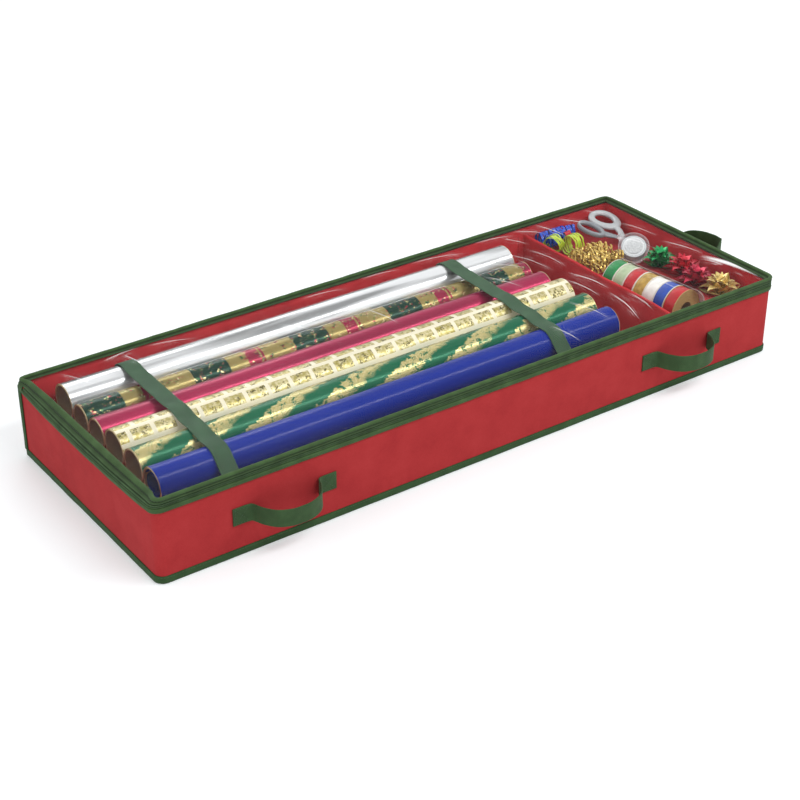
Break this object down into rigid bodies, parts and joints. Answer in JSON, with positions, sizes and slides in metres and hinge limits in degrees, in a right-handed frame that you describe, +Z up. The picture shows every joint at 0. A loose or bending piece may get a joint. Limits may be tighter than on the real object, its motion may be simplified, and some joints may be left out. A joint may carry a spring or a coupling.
{
  "type": "gift wrap organizer",
  "caption": "Long low soft-sided storage tray for wrap rolls and ribbon, with a clear zip-round lid, divider, elastic straps and webbing handles.",
  "frame": {"origin": "centre of the base, on the surface it stands on", "axes": "+X along the tray towards the ribbon compartment, -Y out of the front with two handles, +Y towards the lid's sewn edge, +Z up"},
  "size_m": [1.0706, 0.4136, 0.123],
  "materials": {
    "red_nonwoven_fabric": "matt, fine pressed fibres",
    "red_lining": "matt",
    "grey_board": "matt",
    "green_binding": "fine cross ribs",
    "green_zip_tape": "woven, with coil teeth",
    "clear_pvc": "clear, slightly creased",
    "green_webbing": "woven",
    "green_elastic": "woven",
    "gunmetal_zinc": "satin",
    "folded_carton": "matt",
    "wrap_roll_blue_paper": "glossy foil",
    "wrap_roll_green_paper": "glossy, gold figures",
    "wrap_roll_cream_paper": "satin, gold figures",
    "wrap_roll_crimson_paper": "glossy foil",
    "wrap_roll_striped_paper": "satin, stripes",
    "wrap_roll_silver_paper": "metallic",
    "ribbon_spool_green_satin": "satin",
    "ribbon_spool_sage_satin": "satin",
    "ribbon_spool_scarlet_satin": "satin",
    "ribbon_spool_gold_satin": "satin",
    "ribbon_spool_white_satin": "satin",
    "ribbon_spool_blue_satin": "satin",
    "ribbon_spool_red_satin": "satin",
    "bow_green_ribbon": "glossy",
    "bow_red_ribbon": "glossy",
    "bow_crimson_ribbon": "glossy",
    "bow_gold_ribbon": "glossy",
    "curled_ribbon_blue_foil": "glossy",
    "curled_ribbon_lime_foil": "glossy",
    "curled_ribbon_gold_foil": "glossy",
    "scissors_grey": "satin, steel blades",
    "clear_styrene": "clear",
    "tape_roll_film": "clear film on a printed core"
  },
  "bodies": {
    "tray": {"outer_wall": "red_nonwoven_fabric", "back_wall": "red_nonwoven_fabric", "base_fabric": "red_nonwoven_fabric", "floor_board": "grey_board", "front_board": "grey_board", "back_board": "grey_board", "left_board": "grey_board", "right_board": "grey_board", "wall_lining": "red_lining", "back_left_binding": "green_binding", "back_right_binding": "green_binding", "base_binding": "green_binding", "rim_binding": "green_binding", "lower_zipper": "green_zip_tape", "left_strap": "green_elastic", "right_strap": "green_elastic", "divider": "red_lining", "front_left_handle_patch_left": "green_webbing", "front_left_handle_patch_right": "green_webbing", "front_right_handle_patch_left": "green_webbing", "front_right_handle_patch_right": "green_webbing", "end_handle_patch_left": "green_webbing", "end_handle_patch_right": "green_webbing", "wrap_roll_blue": "wrap_roll_blue_paper", "wrap_roll_green": "wrap_roll_green_paper", "wrap_roll_cream": "wrap_roll_cream_paper", "wrap_roll_crimson": "wrap_roll_crimson_paper", "wrap_roll_striped": "wrap_roll_striped_paper", "wrap_roll_silver": "wrap_roll_silver_paper", "folded_gift_boxes": "folded_carton", "gift_box_low": "folded_carton", "gift_box_back": "folded_carton", "gift_box_side": "folded_carton", "ribbon_spool_green": "ribbon_spool_green_satin", "ribbon_spool_sage": "ribbon_spool_sage_satin", "ribbon_spool_scarlet": "ribbon_spool_scarlet_satin", "ribbon_spool_gold": "ribbon_spool_gold_satin", "ribbon_spool_white": "ribbon_spool_white_satin", "ribbon_spool_blue": "ribbon_spool_blue_satin", "ribbon_spool_red": "ribbon_spool_red_satin", "bow_green": "bow_green_ribbon", "bow_red": "bow_red_ribbon", "bow_crimson": "bow_crimson_ribbon", "bow_gold": "bow_gold_ribbon", "curled_ribbon_blue": "curled_ribbon_blue_foil", "curled_ribbon_lime": "curled_ribbon_lime_foil", "curled_ribbon_gold": "curled_ribbon_gold_foil", "scissors_lower_half": "scissors_grey", "tape_dispenser": "clear_styrene"},
    "lid": {"lid_frame": "green_binding", "lid_window": "clear_pvc", "upper_zipper": "green_zip_tape", "hinge_strip": "green_binding"},
    "slider": {"zipper_slider": "gunmetal_zinc"},
    "pull": {"zipper_pull": "gunmetal_zinc"},
    "front_left_loop": {"front_left_handle": "green_webbing"},
    "front_right_loop": {"front_right_handle": "green_webbing"},
    "end_loop": {"end_handle": "green_webbing"},
    "scissors_upper": {"scissors_upper_half": "scissors_grey"},
    "tape": {"tape_roll": "tape_roll_film"}
  },
  "joints": [
    {"name": "lid_hinge", "type": "hinge", "parent": "tray", "child": "lid", "pos_m": [0, 0.1868, 0.11125], "axis": [-1, 0, 0], "range_deg": [0, 180]},
    {"name": "slider_travel", "type": "slide", "parent": "tray", "child": "slider", "axis": [0, -1, 0], "range_m": [0, 0.33]},
    {"name": "pull_hinge", "type": "hinge", "parent": "slider", "child": "pull", "pos_m": [0.518, 0.1645, 0.11125], "axis": [0, 0, 1], "range_deg": [0, 175]},
    {"name": "front_left_swing", "type": "hinge", "parent": "tray", "child": "front_left_loop", "pos_m": [-0.3335, -0.184, 0.07], "axis": [-1, 0, 0], "range_deg": [0, 80]},
    {"name": "front_right_swing", "type": "hinge", "parent": "tray", "child": "front_right_loop", "pos_m": [0.3335, -0.184, 0.07], "axis": [-1, 0, 0], "range_deg": [0, 80]},
    {"name": "end_swing", "type": "hinge", "parent": "tray", "child": "end_loop", "pos_m": [0.5125, -0.008, 0.088], "axis": [0, -1, 0], "range_deg": [0, 30]},
    {"name": "scissors_pivot", "type": "hinge", "parent": "tray", "child": "scissors_upper", "pos_m": [0.4735, 0.09, 0.08923], "axis": [0.0677, -0.1966, 0.9781], "range_deg": [0, 12]},
    {"name": "tape_spin", "type": "hinge", "parent": "tray", "child": "tape", "pos_m": [0.45, 0.048, 0.09144], "axis": [-0.3742, -0.4156, 0.829], "continuous": true}
  ]
}
